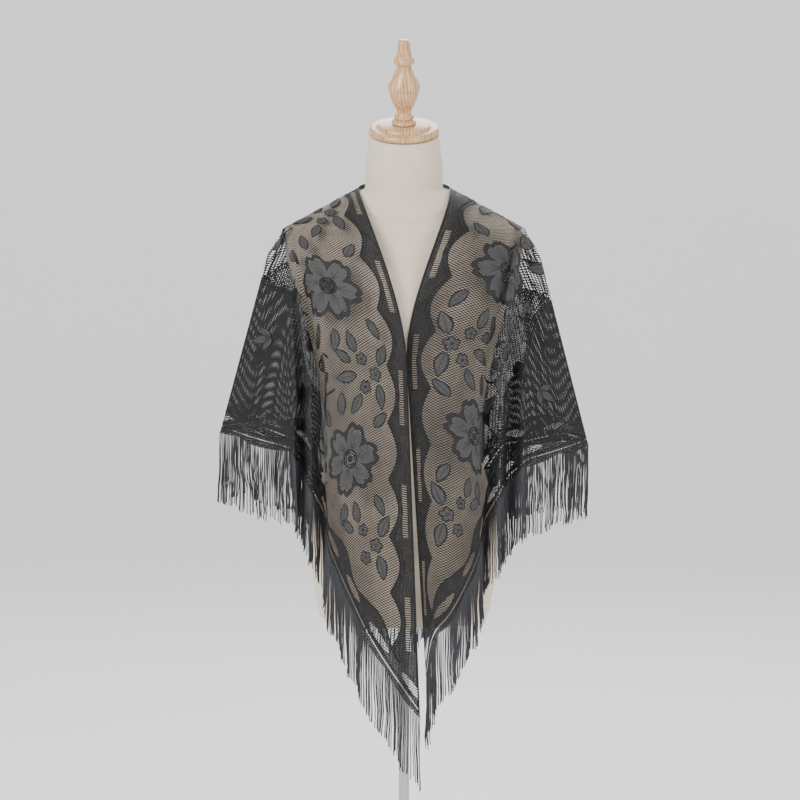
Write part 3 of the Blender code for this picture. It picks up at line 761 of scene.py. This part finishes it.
for number_of, place_u in enumerate(FLOWER_PLACES):
    add_flower((place_u, FLOWER_V), FLOWER_SIZE, FLOWER_PETALS, 0.3 + 0.5 * number_of)
    for motif in ROUND_FLOWER:
        place_motif(motif, place_u)
add_flower((0.0, FLOWER_V), FLOWER_SIZE, FLOWER_PETALS, 0.52, sides=(1,))
for motif in ROUND_FLOWER:
    place_motif(motif, 0.0, sides=(1,))
for place_u in SPRAY_PLACES:
    for motif in SPRAY:
        place_motif(motif, place_u)
for row in range(SPRIG_ROWS):
    sprig_v = SPRIG_V + SPRIG_STEP * row
    for sprig_u in np.arange(0.055 if row % 2 else 0.10, 0.9, SPRIG_PITCH):
        if from_hem(sprig_u, sprig_v) > SPRIG_MARGIN:
            lean = 1.2 + 0.9 * math.sin(7 * sprig_u + 3 * row)
            for swing, length in ((0.0, 0.030), (0.95, 0.022), (-0.95, 0.022)):
                add_leaf((sprig_u, sprig_v), lean + swing, length, length * 0.42, 0.1)
line_u = np.arange(-0.86, 0.8601, 0.003)
edge_line = np.stack([line_u, border_edge(line_u)], axis=1)
edge_line = edge_line[from_hem(edge_line[:, 0], edge_line[:, 1]) > 0.012]
add_cord(edge_line, 0.0013, sides=(1,))
add_cord(edge_line - (0.0, 0.0058), 0.0008, sides=(1,))
for half in (1, -1):
    band_u = half * np.arange(0.0, 0.68, 0.004)
    band_line_points = np.stack([band_u, band_edge(np.abs(band_u))], axis=1)
    band_line_points = band_line_points[from_hem(band_line_points[:, 0], band_line_points[:, 1]) > 0.034]
    for shift in (0.0, 0.0055):
        add_cord(band_line_points + (0.0, shift), 0.0011, sides=(1,))
    along = np.arange(0.03, HEM_LENGTH - 0.001, 0.004)
    for depth, wave, width in ((HEM_BAND, HEM_WAVE, 0.0013), (0.0110, 0.0, 0.0009)):
        off = depth + wave * np.sin(2 * math.pi * along / HEM_REPEAT)
        hem_u = HALF_LONG_EDGE * (1 - along / HEM_LENGTH) - off * CUT_HEIGHT / HEM_LENGTH
        hem_v = CUT_HEIGHT * along / HEM_LENGTH - off * HALF_LONG_EDGE / HEM_LENGTH
        keep = (hem_u > 0) & (hem_v > border_edge(hem_u) * (wave > 0) + 0.001)
        add_cord(np.stack([half * hem_u, hem_v], axis=1)[keep], width, sides=(1,))
edge_u = np.arange(-0.93, 0.9301, 0.005)
add_cord(np.stack([edge_u, np.full(len(edge_u), 0.0012)], axis=1), 0.0012, sides=(1,), lift=0.0008)

motif_pieces = []
YARNS = {"halo": halo_yarn, "petal": petal_yarn, "cord": cord_yarn}
for batch, (places, lifts, faces) in batches.items():
    cut_points = np.concatenate(places)
    piece = new_object(f"lace_{batch}s", drape(cut_points, np.concatenate(lifts)), np.concatenate(faces).tolist())
    piece.data.materials.append(YARNS[batch])
    motif_pieces.append(piece)
    print(piece.name, len(piece.data.polygons), "faces")

# %% [markdown]
# The fringe is hundreds of soft strands, each a little different. One point for each strand lies on the hem, and
# carries the way it hangs. Geometry Nodes puts a line on every point, lets noise bend it more towards its end, and
# gives it a round section.

# %% Points that carry the strands
STRAND_PITCH, STRAND_LENGTH, STRAND_RADIUS = 0.0029, 0.106, 0.00075
draws = np.random.default_rng(11)
roots, hangs = [], []
for side, (hem_points, hem_flat) in hem_lines.items():
    along = np.concatenate([[0.0], np.cumsum(np.linalg.norm(np.diff(hem_flat, axis=0), axis=1))])
    wanted = np.arange(STRAND_PITCH / 2, along[-1], STRAND_PITCH)
    root = np.stack([np.interp(wanted, along, hem_points[:, axis]) for axis in range(3)], axis=1)
    cluster = 0.030 * np.sin(wanted * 95.0 + 3 * np.sin(wanted * 31.0))
    lean = draws.normal(0.0, 0.012, (len(wanted), 2)) + np.stack([cluster, 0.5 * cluster], axis=1)
    hang = np.concatenate([lean, -np.ones((len(wanted), 1))], axis=1)
    length = STRAND_LENGTH * (1 + draws.normal(0.0, 0.025, len(wanted)))
    roots.append(root + (0.0, 0.0, 0.001))
    hangs.append(hang * length[:, None])
roots, hangs = np.concatenate(roots), np.concatenate(hangs)
strands = new_object("shawl_fringe", roots, [])
strands.data.attributes.new("hang", "FLOAT_VECTOR", "POINT").data.foreach_set("vector", hangs.reshape(-1))
print("strands:", len(roots))

# %% [markdown]
# The tree below is built from named inputs, so a strand's radius, its bend and the seed can be changed in one
# place. It ends in Realize Instances and Set Material, because an export drops instances.

# %% Fringe tree
fringe_tree = bpy.data.node_groups.new("hanging_strands", "GeometryNodeTree")
face = fringe_tree.interface
face.new_socket("Geometry", in_out="INPUT", socket_type="NodeSocketGeometry")
inputs = {"Radius": ("NodeSocketFloat", STRAND_RADIUS), "Bend": ("NodeSocketFloat", 0.011),
          "Seed": ("NodeSocketFloat", 4.0), "Yarn": ("NodeSocketMaterial", fringe_yarn)}
identifiers = {name: face.new_socket(name, in_out="INPUT", socket_type=kind).identifier
               for name, (kind, _) in inputs.items()}
face.new_socket("Geometry", in_out="OUTPUT", socket_type="NodeSocketGeometry")


def grow(kind, settings=None, **links):
    """A node of the fringe tree, with links or values for its sockets."""
    node = fringe_tree.nodes.new(kind)
    for name, value in (settings or {}).items():
        setattr(node, name, value)
    for name, value in links.items():
        socket = node.inputs[name.replace("_", " ")]
        if isinstance(value, bpy.types.NodeSocket):
            fringe_tree.links.new(value, socket)
        else:
            socket.default_value = value
    return node


given = grow("NodeGroupInput").outputs
hang_way = grow("GeometryNodeInputNamedAttribute", {"data_type": "FLOAT_VECTOR"}, Name="hang").outputs["Attribute"]
hang_length = grow("ShaderNodeVectorMath", {"operation": "LENGTH"}, Vector=hang_way).outputs["Value"]
scale = grow("ShaderNodeCombineXYZ", X=1.0, Y=1.0, Z=hang_length).outputs["Vector"]
turn = grow("FunctionNodeAlignRotationToVector", {"axis": "Z"}, Vector=hang_way).outputs["Rotation"]
line = grow("GeometryNodeCurvePrimitiveLine", Start=(0.0, 0.0, 0.0), End=(0.0, 0.0, 1.0)).outputs["Curve"]
line = grow("GeometryNodeResampleCurve", Curve=line, Count=9).outputs["Curve"]
placed = grow("GeometryNodeInstanceOnPoints", Points=given["Geometry"], Instance=line, Rotation=turn,
              Scale=scale).outputs["Instances"]
loose = grow("GeometryNodeRealizeInstances", Geometry=placed).outputs["Geometry"]
spot = grow("GeometryNodeInputPosition").outputs["Position"]
waves = grow("ShaderNodeTexNoise", {"noise_dimensions": "4D"}, Vector=spot, W=given["Seed"], Scale=26.0, Detail=1.0)
centred = grow("ShaderNodeVectorMath", {"operation": "SUBTRACT"}, Vector=waves.outputs["Color"])
centred.inputs[1].default_value = (0.5, 0.5, 0.5)
factor = grow("GeometryNodeSplineParameter").outputs["Factor"]
amount = grow("ShaderNodeMath", {"operation": "MULTIPLY"})
fringe_tree.links.new(factor, amount.inputs[0])
fringe_tree.links.new(given["Bend"], amount.inputs[1])
offset = grow("ShaderNodeVectorMath", {"operation": "SCALE"}, Vector=centred.outputs["Vector"],
              Scale=amount.outputs["Value"]).outputs["Vector"]
bent = grow("GeometryNodeSetPosition", Geometry=loose, Offset=offset).outputs["Geometry"]
section = grow("GeometryNodeCurvePrimitiveCircle", Resolution=5, Radius=given["Radius"]).outputs["Curve"]
tubes = grow("GeometryNodeCurveToMesh", Curve=bent, Profile_Curve=section, Fill_Caps=True).outputs["Mesh"]
whole_tubes = grow("GeometryNodeRealizeInstances", Geometry=tubes).outputs["Geometry"]
dressed = grow("GeometryNodeSetMaterial", Geometry=whole_tubes, Material=given["Yarn"]).outputs["Geometry"]
grow("NodeGroupOutput", Geometry=dressed)


def settle(obj, modifier):
    """Turn a live modifier into the object's own plain mesh."""
    bpy.context.view_layer.update()
    evaluated = obj.evaluated_get(bpy.context.evaluated_depsgraph_get())
    mesh = bpy.data.meshes.new_from_object(evaluated)
    obj.modifiers.remove(modifier)
    obj.data = mesh


grower = strands.modifiers.new("strands", "NODES")
grower.node_group = fringe_tree
for name, (_, value) in inputs.items():
    grower[identifiers[name]] = value
settle(strands, grower)
strands.data.polygons.foreach_set("use_smooth", [True] * len(strands.data.polygons))
print("fringe:", len(strands.data.polygons), "faces")

# %% [markdown]
# The dress form is a padded shell under a stretched linen cover. Its outline is a superellipse at each level, and
# the finer body runs smoothly through the same levels as the solid, a hair inside it so that the shawl stays clear.

# %% Linen body
Level = namedtuple("Level", "height half_width front back power lean")
SHOULDERS = zip((0.176, 0.160, 0.140, 0.118, 0.097, 0.080), (0.082, 0.077, 0.071, 0.065, 0.057, 0.050),
                (0.080, 0.077, 0.071, 0.063, 0.051, 0.038))
UNDER_CLOTH = 0.0016 / math.cos(math.atan2(NECK_SIDE_Z - SHOULDER_Z, SHOULDER_X - NECK_SIDE_X))
LEVELS = [Level(*row, 0.0) for row in (
    (0.740, 0.118, 0.082, 0.084, 2.2), (0.7415, 0.125, 0.090, 0.092, 2.2), (0.790, 0.136, 0.099, 0.107, 2.2),
    (0.835, 0.142, 0.103, 0.114, 2.2), (0.880, 0.145, 0.104, 0.113, 2.2), (0.925, 0.136, 0.098, 0.098, 2.2),
    (0.965, 0.122, 0.090, 0.082, 2.2), (1.000, 0.115, 0.085, 0.075, 2.2), (1.050, 0.118, 0.092, 0.080, 2.2),
    (1.110, 0.128, 0.108, 0.089, 2.2), (1.160, 0.139, 0.120, 0.095, 2.2), (1.200, 0.149, 0.125, 0.099, 2.2),
    (1.240, 0.160, 0.120, 0.100, 2.0), (1.270, 0.171, 0.110, 0.097, 1.8), (1.295, 0.177, 0.099, 0.091, 1.65),
    (1.315, 0.179, 0.089, 0.084, 1.55))]
LEVELS += [Level(shoulder_height(width) - UNDER_CLOTH, width, front, back, 1.55, 0.0)
           for width, front, back in SHOULDERS]
LEVELS += [Level(1.3950, 0.0590, 0.049, 0.050, 1.9, 0.04), Level(1.430, 0.0585, 0.051, 0.060, 2.0, 0.15),
           Level(1.455, 0.0550, 0.049, 0.056, 2.0, 0.24), Level(1.4738, 0.0530, 0.048, 0.055, 2.0, 0.315)]
BODY_SIDES, BODY_STEPS, COVER_SHRINK = 112, 5, 0.0007
steps = np.linspace(0, len(LEVELS) - 1, (len(LEVELS) - 1) * BODY_STEPS + 1)
level_values = {field: smooth_keys(np.arange(len(LEVELS)), [getattr(level, field) for level in LEVELS], steps)
                for field in Level._fields}
turn_round = np.linspace(0, 2 * math.pi, BODY_SIDES, endpoint=False)
across, along = np.cos(turn_round)[None, :], np.sin(turn_round)[None, :]
power = level_values["power"][:, None]
reach = (np.abs(across) ** power + np.abs(along) ** power) ** (-1 / power)
depth = np.where(along > 0, level_values["back"][:, None], level_values["front"][:, None]) - COVER_SHRINK
body_x = (level_values["half_width"][:, None] - COVER_SHRINK) * reach * across
body_y = depth * reach * along
body_z = level_values["height"][:, None] + level_values["lean"][:, None] * body_y
body_points = np.stack([body_x, body_y, body_z], axis=2).reshape(-1, 3)


def ring_faces(rings, sides):
    faces = [tuple(reversed(range(sides)))]
    for ring in range(rings - 1):
        low, high = ring * sides, (ring + 1) * sides
        for side in range(sides):
            after = (side + 1) % sides
            faces.append((low + side, low + after, high + after, high + side))
    top = (rings - 1) * sides
    return faces + [tuple(range(top, top + sides))]


body_faces = ring_faces(len(steps), BODY_SIDES)
linen_body = new_object("linen_body", body_points, body_faces)
linen_body.data.set_sharp_from_angle(angle=math.radians(50))
print("linen body:", len(linen_body.data.polygons), "faces")

# %% [markdown]
# The cover is sewn from panels. Its seams show as fine raised lines: one round the foot of the neck, one down the
# middle of the back, one down each side, and a pair that shape the front. Each is laid on the body by looking for
# the surface from outside.

# %% Cover seams
body_tree = BVHTree.FromPolygons([Vector(point) for point in body_points], body_faces)
SEAM_RADIUS, SEAM_FOOT, SEAM_POINTS = 0.0007, 0.746, 60


def on_body(angle, height):
    """The body's surface and normal at an angle round it and a height."""
    outward = Vector((math.cos(angle), math.sin(angle), 0.0))
    place, normal, _, _ = body_tree.ray_cast(outward * 0.5 + Vector((0, 0, height)), -outward)
    return place, normal


def tube_along(spots, radius, closed, sides=6):
    """Points and faces of a thin tube along (place, normal) pairs."""
    places = np.array([place for place, _ in spots])
    normals = np.array([normal for _, normal in spots])
    ahead = np.roll(places, -1, axis=0) if closed else np.concatenate([places[1:], places[-1:]])
    behind = np.roll(places, 1, axis=0) if closed else np.concatenate([places[:1], places[:-1]])
    along = unit(ahead - behind)
    side_way = unit(np.cross(along, normals))
    up_way = np.cross(side_way, along)
    rings = []
    for turn in np.linspace(0, 2 * math.pi, sides, endpoint=False):
        rings.append(places + radius * (math.cos(turn) * side_way + math.sin(turn) * up_way))
    tube = np.stack(rings, axis=1).reshape(-1, 3)
    count = len(places)
    faces = []
    for ring in range(count if closed else count - 1):
        after = (ring + 1) % count
        for side in range(sides):
            other = (side + 1) % sides
            faces.append((ring * sides + side, ring * sides + other, after * sides + other, after * sides + side))
    if not closed:
        faces.append(tuple(reversed(range(sides))))
        faces.append(tuple(range((count - 1) * sides, count * sides)))
    return tube, faces


seam_lines = [([on_body(angle, 1.384 - 0.040 * max(0.0, -math.sin(angle)) ** 1.5 + 0.008 * max(0.0, math.sin(angle)))
                for angle in np.linspace(0, 2 * math.pi, 96, endpoint=False)], True)]
for seam_angle, top in ((0.5 * math.pi, 1.385), (0.0, 1.31), (math.pi, 1.31)):
    seam_lines.append(([on_body(seam_angle, height) for height in np.linspace(SEAM_FOOT, top, SEAM_POINTS)], False))
for hand in (-1, 1):
    seam_lines.append(([on_body(-0.5 * math.pi + hand * (0.62 - 0.20 * eased((height - 0.75) / 0.5)), height)
                        for height in np.linspace(SEAM_FOOT, 1.315, SEAM_POINTS)], False))
seam_points, seam_faces = [], []
for spots, closed in seam_lines:
    tube, faces = tube_along(spots, SEAM_RADIUS, closed)
    offset = sum(len(part) for part in seam_points)
    seam_points.append(tube)
    seam_faces += [tuple(corner + offset for corner in face) for face in faces]
cover_seams = new_object("cover_seams", np.concatenate(seam_points), seam_faces)
print("cover seams:", len(seam_lines))

# %% [markdown]
# Linen is a plain weave of uneven threads. Two crossed waves make the weave, stretched noise makes the slubs, and
# both feed the bump as well as the colour.

# %% Linen
WEAVE_PITCH = 0.0011
linen, tree, shader = new_material("natural_linen", Roughness=0.9, Sheen_Weight=0.15, Sheen_Roughness=0.5)
place = add_node(tree, "TexCoord").outputs["Object"]
axes = add_node(tree, "SeparateXYZ", Vector=place)
x, y, z = (Number(tree, axes.outputs[name]) for name in "XYZ")
turn = 2 * math.pi / WEAVE_PITCH
weave = ((x + y) * turn).sine() * 0.5 + (z * turn).sine() * 0.5
level_slubs = add_node(tree, "Mapping", Vector=place, Scale=(25.0, 25.0, 420.0)).outputs["Vector"]
upright_slubs = add_node(tree, "Mapping", Vector=place, Scale=(420.0, 420.0, 25.0)).outputs["Vector"]
slubs = noise(tree, level_slubs, 1.0, 3.0) * 0.5 + noise(tree, upright_slubs, 1.0, 3.0) * 0.5
tone = slubs * 0.7 + noise(tree, place, 14.0) * 0.3
thread_colour = mix_colours(tree, tone, (0.45, 0.37, 0.28), (0.78, 0.68, 0.55))
tree.links.new(mix_colours(tree, weave * 0.12 + 0.12, thread_colour, (0.45, 0.38, 0.30)),
               shader.inputs["Base Color"])
bump(tree, shader, weave * 0.5 + slubs, 0.0003, 0.7)
for piece in (linen_body, cover_seams):
    piece.data.materials.append(linen)
print("linen weave pitch:", WEAVE_PITCH)

# %% [markdown]
# The cap and the knob on the neck are turned on a lathe, so each is a profile swept round an axis, finely enough to
# look round. Both lean forward with the neck.

# %% Turned wood
CAP_TILT = math.radians(17.5)
CAP_PLACE = Vector((0.0, 0.0035, 1.4753))
CAP_PROFILE = ((0.0, 0.0488), (0.0006, 0.0502), (0.0016, 0.0518), (0.0034, 0.0527), (0.0058, 0.0527),
               (0.0076, 0.0518), (0.0092, 0.0506), (0.0102, 0.0494), (0.0106, 0.0478), (0.0107, 0.0424),
               (0.0112, 0.0407), (0.0128, 0.0400), (0.0143, 0.0393), (0.0150, 0.0380))
KNOB_PROFILE = (
    (0.0000, 0.0165), (0.0008, 0.0178), (0.0026, 0.0184), (0.0045, 0.0182), (0.0056, 0.0172), (0.0070, 0.0134),
    (0.0078, 0.0128), (0.0086, 0.0138), (0.0104, 0.0149), (0.0124, 0.0149), (0.0138, 0.0138), (0.0150, 0.0118),
    (0.0170, 0.0105), (0.0200, 0.0107), (0.0240, 0.0122), (0.0300, 0.0155), (0.0360, 0.0186), (0.0430, 0.0211),
    (0.0490, 0.0222), (0.0540, 0.0226), (0.0552, 0.0227), (0.0557, 0.0237), (0.0568, 0.0241), (0.0582, 0.0240),
    (0.0600, 0.0234), (0.0645, 0.0218), (0.0710, 0.0185), (0.0772, 0.0150), (0.0850, 0.0120), (0.0900, 0.0106),
    (0.0922, 0.0104), (0.0930, 0.0120), (0.0940, 0.0138), (0.0962, 0.0155), (0.0990, 0.0158), (0.1014, 0.0153),
    (0.1030, 0.0136), (0.1045, 0.0118), (0.1060, 0.0110), (0.1160, 0.0099), (0.1255, 0.0092), (0.1278, 0.0088),
    (0.1298, 0.0078), (0.1306, 0.0062))


def turned(name, profile, sides, placing):
    points = []
    for height, radius in profile:
        for side in range(sides):
            angle = 2 * math.pi * side / sides
            points.append(placing @ Vector((radius * math.cos(angle), radius * math.sin(angle), height)))
    obj = new_object(name, points, ring_faces(len(profile), sides))
    obj.data.set_sharp_from_angle(angle=math.radians(55))
    return obj


lean = Matrix.Rotation(CAP_TILT, 4, "X")
neck_disc = turned("neck_disc", CAP_PROFILE, 96, Matrix.Translation(CAP_PLACE) @ lean)
knob_place = CAP_PLACE + lean @ Vector((0.0, 0.0, CAP_PROFILE[-1][0] + 0.0003))
turned_knob = turned("turned_knob", KNOB_PROFILE, 64, Matrix.Translation(knob_place) @ lean)
print("knob height:", KNOB_PROFILE[-1][0])

# %% [markdown]
# The wood is pale and honey-coloured under a clear varnish. Its grain is noise stretched along the knob, mixed
# with wavy bands.

# %% Varnished wood
honey, tree, shader = new_material("honey_wood", Roughness=0.36, Coat_Roughness=0.12)
place = add_node(tree, "TexCoord").outputs["Object"]
grain_place = add_node(tree, "Mapping", Vector=place, Scale=(190.0, 190.0, 16.0)).outputs["Vector"]
grain = noise(tree, grain_place, 1.0, 4.0)
streaks = add_node(tree, "TexWave", {"wave_type": "BANDS", "bands_direction": "X"}, Vector=place,
                   Scale=70.0, Distortion=9.0, Detail=2.0)
mixed = grain * 0.65 + Number(tree, streaks.outputs["Fac"]) * 0.35
ramp = add_node(tree, "ValToRGB", None, ((0.25, (0.30, 0.155, 0.060)), (0.55, (0.52, 0.30, 0.13)),
                                         (0.80, (0.66, 0.42, 0.21))))
tree.links.new(mixed.socket, ramp.inputs["Fac"])
tree.links.new(ramp.outputs["Color"], shader.inputs["Base Color"])
shader.inputs["Coat Weight"].default_value = 0.5
bump(tree, shader, grain, 0.0002, 0.5)
for piece in (neck_disc, turned_knob):
    piece.data.materials.append(honey)
print("wood ready")

# %% [markdown]
# The pole is drawn steel tube and the foot a spun steel disc with a rolled edge. The photo's lower
# edge hides the foot, so it is a plain one of the usual kind.

# %% Pole and foot
POLE_RADIUS, BASE_RADIUS, BASE_THICKNESS = 0.0078, 0.155, 0.006
pole_top = LEVELS[0].height - 0.0006
steel_pole = turned("steel_pole", ((BASE_THICKNESS + 0.0003, POLE_RADIUS), (pole_top, POLE_RADIUS)), 64,
                    Matrix.Identity(4))
foot_profile = ((0.0, 0.1535), (0.0006, 0.1547), (0.0016, BASE_RADIUS), (0.0032, BASE_RADIUS), (0.0046, 0.1545),
                (0.0056, 0.1532), (BASE_THICKNESS, 0.1510), (BASE_THICKNESS, 0.0090))
steel_foot = turned("steel_foot", foot_profile, 128, Matrix.Identity(4))
steel, tree, shader = new_material("satin_steel", Metallic=0.9, Roughness=0.35)
place = add_node(tree, "TexCoord").outputs["Object"]
brush_place = add_node(tree, "Mapping", Vector=place, Scale=(900.0, 900.0, 9.0)).outputs["Vector"]
brushing = noise(tree, brush_place, 1.0, 3.0)
tree.links.new(mix_colours(tree, brushing, (0.34, 0.32, 0.30), (0.52, 0.50, 0.47)), shader.inputs["Base Color"])
tree.links.new((brushing * 0.2 + 0.26).socket, shader.inputs["Roughness"])
for piece in (steel_pole, steel_foot):
    piece.data.materials.append(steel)
print("pole top:", round(pole_top, 4))

# %% [markdown]
# Soft light comes from a large panel high on the left, a weaker one on the right and one behind, over a white
# studio. The black yarn needs the side lights, or its folds would not show.

# %% Light
def add_panel(name, place, size, power):
    data = bpy.data.lights.new(name, "AREA")
    data.shape = "SQUARE"
    data.size = size
    data.energy = power
    lamp = bpy.data.objects.new(name, data)
    lamp.location = place
    lamp.rotation_euler = (Vector((0.0, 0.0, 1.0)) - Vector(place)).to_track_quat("-Z", "Y").to_euler()
    bpy.context.scene.collection.objects.link(lamp)


add_panel("key_panel", (-2.6, -3.2, 3.2), 2.0, 195.0)
add_panel("fill_panel", (3.0, -3.0, 2.0), 2.4, 80.0)
add_panel("back_panel", (0.5, 3.2, 3.4), 2.4, 90.0)
world = bpy.data.worlds.new("white_studio")
world.use_nodes = True
world.node_tree.nodes["Background"].inputs["Color"].default_value = (1.0, 1.0, 1.0, 1.0)
world.node_tree.nodes["Background"].inputs["Strength"].default_value = 1.15
bpy.context.scene.world = world
print("lights:", len(bpy.data.lights))

# %% [markdown]
# Last, each piece is attached to the body it rides on, and the solids it stands for are hidden.

# %% Attach the pieces
SOFT_NODES = ("front_fall_left", "front_fall_right", "back_fall")
FRINGE_NODES = ("fringe_front_left", "fringe_front_right", "fringe_back_left", "fringe_back_right")
STANDS_FOR = ((lace_sheet, "lace", SOFT_NODES), (strands, "lace", FRINGE_NODES),
              (linen_body, "linen", ("form_torso",)), (neck_disc, "wood", ("neck_cap",)),
              (turned_knob, "wood", ("finial",)), (steel_pole, "steel", ("pole",)), (steel_foot, "steel", ("base",)))
for piece, slot, nodes in STANDS_FOR:
    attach(piece, "root")
    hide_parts(*nodes)
for piece in motif_pieces:
    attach(piece, "root")
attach(cover_seams, "root")
